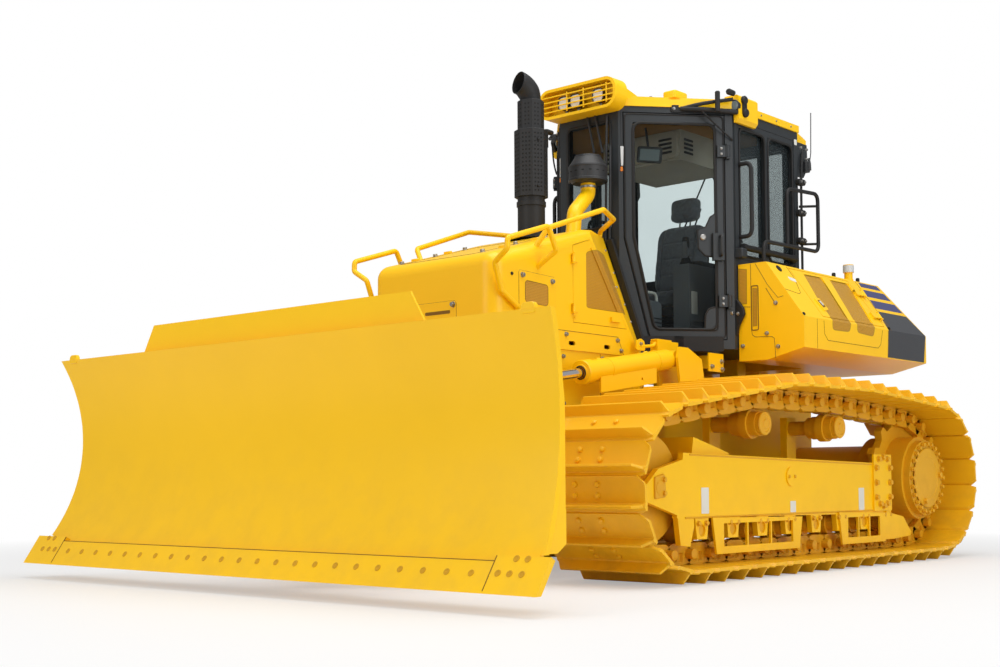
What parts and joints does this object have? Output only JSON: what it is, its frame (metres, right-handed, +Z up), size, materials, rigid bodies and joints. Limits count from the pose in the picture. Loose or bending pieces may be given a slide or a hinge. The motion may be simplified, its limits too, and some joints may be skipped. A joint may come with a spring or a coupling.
{
  "type": "bulldozer",
  "caption": "Crawler dozer with wide tracks, a closed cab and a curved blade on a push frame that lifts, angles and tilts.",
  "frame": {"origin": "on the ground under the middle of the machine's overall box", "axes": "+X forwards to the blade, +Y to the operator's left, +Z up"},
  "size_m": [5.6693, 4, 3.198],
  "materials": {
    "yellow_paint": "gloss",
    "dark_paint": "satin",
    "track_paint": "satin",
    "cast_parts": "satin",
    "chrome": "polished",
    "glass": "clear",
    "seat_cloth": "matte",
    "trim_plastic": "matte",
    "lamp": "gloss",
    "black_plastic": "satin",
    "mesh_paint": "matte"
  },
  "bodies": {
    "hull": {"main_frame": "yellow_paint", "hood": "yellow_paint", "hood_skirts": "yellow_paint", "cooler_housing": "yellow_paint", "track_frame_left": "yellow_paint", "track_frame_right": "yellow_paint", "intake_pipe": "yellow_paint", "cross_shafts": "yellow_paint", "body_posts": "yellow_paint", "hood_rails": "yellow_paint", "cab_roof": "yellow_paint", "rear_body": "yellow_paint", "drawbar": "yellow_paint", "track_left": "track_paint", "track_right": "track_paint", "sprocket_left": "cast_parts", "sprocket_right": "cast_parts", "final_drive_left": "cast_parts", "final_drive_right": "cast_parts", "idler_left": "cast_parts", "idler_right": "cast_parts", "track_rollers_left": "cast_parts", "track_rollers_right": "cast_parts", "carrier_rollers_left": "cast_parts", "carrier_rollers_right": "cast_parts", "engine_block": "cast_parts", "exhaust_stack": "dark_paint", "cab_frame": "dark_paint", "cab_rails": "dark_paint", "cab_glass": "glass", "operator_seat": "seat_cloth", "consoles": "trim_plastic", "headliner_unit": "trim_plastic", "work_lamps": "lamp", "precleaner": "black_plastic"},
    "push_frame": {"c_frame": "yellow_paint"},
    "swivel": {"blade_knuckle": "yellow_paint"},
    "blade": {"blade": "yellow_paint", "cutting_edge": "yellow_paint"},
    "tilt_barrel": {"tilt_barrel": "yellow_paint"},
    "tilt_rod": {"tilt_rod": "chrome"},
    "cooler_door": {"rear_grille_door": "dark_paint"},
    "fan": {"radiator_fan": "black_plastic"},
    "lift_barrel_left": {"lift_barrel_left": "yellow_paint"},
    "lift_rod_left": {"lift_rod_left": "chrome"},
    "angle_barrel_left": {"angle_barrel_left": "yellow_paint"},
    "angle_rod_left": {"angle_rod_left": "chrome"},
    "cab_door_left": {"cab_door_left": "dark_paint", "door_glass_left": "glass"},
    "engine_door_left": {"engine_door_left": "yellow_paint"},
    "side_door_left": {"side_door_left": "yellow_paint"},
    "lift_barrel_right": {"lift_barrel_right": "yellow_paint"},
    "lift_rod_right": {"lift_rod_right": "chrome"},
    "angle_barrel_right": {"angle_barrel_right": "yellow_paint"},
    "angle_rod_right": {"angle_rod_right": "chrome"},
    "cab_door_right": {"cab_door_right": "dark_paint", "door_glass_right": "glass"},
    "engine_door_right": {"engine_door_right": "yellow_paint"},
    "side_door_right": {"side_door_right": "yellow_paint"}
  },
  "joints": [
    {"name": "blade_lift", "type": "hinge", "parent": "hull", "child": "push_frame", "pos_m": [-0.15, 0, 0.52], "axis": [0, -1, 0], "range_deg": [-12, 20]},
    {"name": "blade_angle", "type": "hinge", "parent": "push_frame", "child": "swivel", "pos_m": [2.33, 0, 0.495], "axis": [0, 0, 1], "range_deg": [-25, 25]},
    {"name": "blade_tilt", "type": "hinge", "parent": "swivel", "child": "blade", "pos_m": [2.465, 0, 0.495], "axis": [1, 0, 0], "range_deg": [-7, 7]},
    {"name": "lift_barrel_left_pivot", "type": "hinge", "parent": "hull", "child": "lift_barrel_left", "pos_m": [-0.14, 0.64, 1.335], "axis": [0, -1, 0], "range_deg": [-13.8, 21.66]},
    {"name": "lift_rod_left_slide", "type": "slide", "parent": "lift_barrel_left", "child": "lift_rod_left", "axis": [0.989, 0, -0.1478], "range_m": [-0.2924, 0.1795]},
    {"name": "angle_barrel_left_pivot", "type": "hinge", "parent": "push_frame", "child": "angle_barrel_left", "pos_m": [1.05, 0.47, 0.668], "axis": [0, 0, 1], "range_deg": [-3, 3]},
    {"name": "angle_rod_left_slide", "type": "slide", "parent": "angle_barrel_left", "child": "angle_rod_left", "axis": [0.9984, 0.0561, 0], "range_m": [-0.2413, 0.2413]},
    {"name": "lift_barrel_right_pivot", "type": "hinge", "parent": "hull", "child": "lift_barrel_right", "pos_m": [-0.14, -0.64, 1.335], "axis": [0, -1, 0], "range_deg": [-13.8, 21.66]},
    {"name": "lift_rod_right_slide", "type": "slide", "parent": "lift_barrel_right", "child": "lift_rod_right", "axis": [0.989, 0, -0.1478], "range_m": [-0.2924, 0.1795]},
    {"name": "angle_barrel_right_pivot", "type": "hinge", "parent": "push_frame", "child": "angle_barrel_right", "pos_m": [1.05, -0.47, 0.668], "axis": [0, 0, 1], "range_deg": [-3, 3]},
    {"name": "angle_rod_right_slide", "type": "slide", "parent": "angle_barrel_right", "child": "angle_rod_right", "axis": [0.9984, -0.0561, 0], "range_m": [-0.2413, 0.2413]},
    {"name": "tilt_barrel_pivot", "type": "hinge", "parent": "swivel", "child": "tilt_barrel", "pos_m": [2.418, -0.42, 0.76], "axis": [1, 0, 0], "range_deg": [-9, 9]},
    {"name": "tilt_rod_slide", "type": "slide", "parent": "tilt_barrel", "child": "tilt_rod", "axis": [0, 0.985, 0.1724], "range_m": [-0.0507, 0.0507]},
    {"name": "cab_door_left_hinge", "type": "hinge", "parent": "hull", "child": "cab_door_left", "pos_m": [-0.65161, 0.73918, 2.2], "axis": [0, 0, 1], "range_deg": [0, 115]},
    {"name": "engine_door_left_hinge", "type": "hinge", "parent": "hull", "child": "engine_door_left", "pos_m": [0.712, 0.512, 1.74], "axis": [0, 0, 1], "range_deg": [-110, 0]},
    {"name": "side_door_left_hinge", "type": "hinge", "parent": "hull", "child": "side_door_left", "pos_m": [-1.905, 1.11222, 1.80704], "axis": [0, 0.5863, -0.8101], "range_deg": [-100, 0]},
    {"name": "cab_door_right_hinge", "type": "hinge", "parent": "hull", "child": "cab_door_right", "pos_m": [-0.65161, -0.73918, 2.2], "axis": [0, 0, -1], "range_deg": [0, 115]},
    {"name": "engine_door_right_hinge", "type": "hinge", "parent": "hull", "child": "engine_door_right", "pos_m": [0.712, -0.512, 1.74], "axis": [0, 0, -1], "range_deg": [-110, 0]},
    {"name": "side_door_right_hinge", "type": "hinge", "parent": "hull", "child": "side_door_right", "pos_m": [-1.905, -1.11222, 1.80704], "axis": [0, 0.5863, 0.8101], "range_deg": [-100, 0]},
    {"name": "cooler_door_hinge", "type": "hinge", "parent": "hull", "child": "cooler_door", "pos_m": [-2.565, 0.724, 1.48], "axis": [0, 0, -1], "range_deg": [0, 110]},
    {"name": "fan_spin", "type": "hinge", "parent": "hull", "child": "fan", "pos_m": [-2.205, 0, 1.625], "axis": [1, 0, 0], "continuous": true}
  ],
  "couplings": [
    {"joint": "lift_barrel_left_pivot", "follows": "blade_lift", "ratio": 0.9832},
    {"joint": "lift_rod_left_slide", "follows": "blade_lift", "m_per_rad": -0.8091},
    {"joint": "angle_barrel_left_pivot", "follows": "blade_angle", "ratio": -0.0149},
    {"joint": "angle_rod_left_slide", "follows": "blade_angle", "m_per_rad": -0.53},
    {"joint": "lift_barrel_right_pivot", "follows": "blade_lift", "ratio": 0.9832},
    {"joint": "lift_rod_right_slide", "follows": "blade_lift", "m_per_rad": -0.8091},
    {"joint": "angle_barrel_right_pivot", "follows": "blade_angle", "ratio": -0.0149},
    {"joint": "angle_rod_right_slide", "follows": "blade_angle", "m_per_rad": 0.53},
    {"joint": "tilt_barrel_pivot", "follows": "blade_tilt", "ratio": 0.547},
    {"joint": "tilt_rod_slide", "follows": "blade_tilt", "m_per_rad": -0.3333}
  ]
}
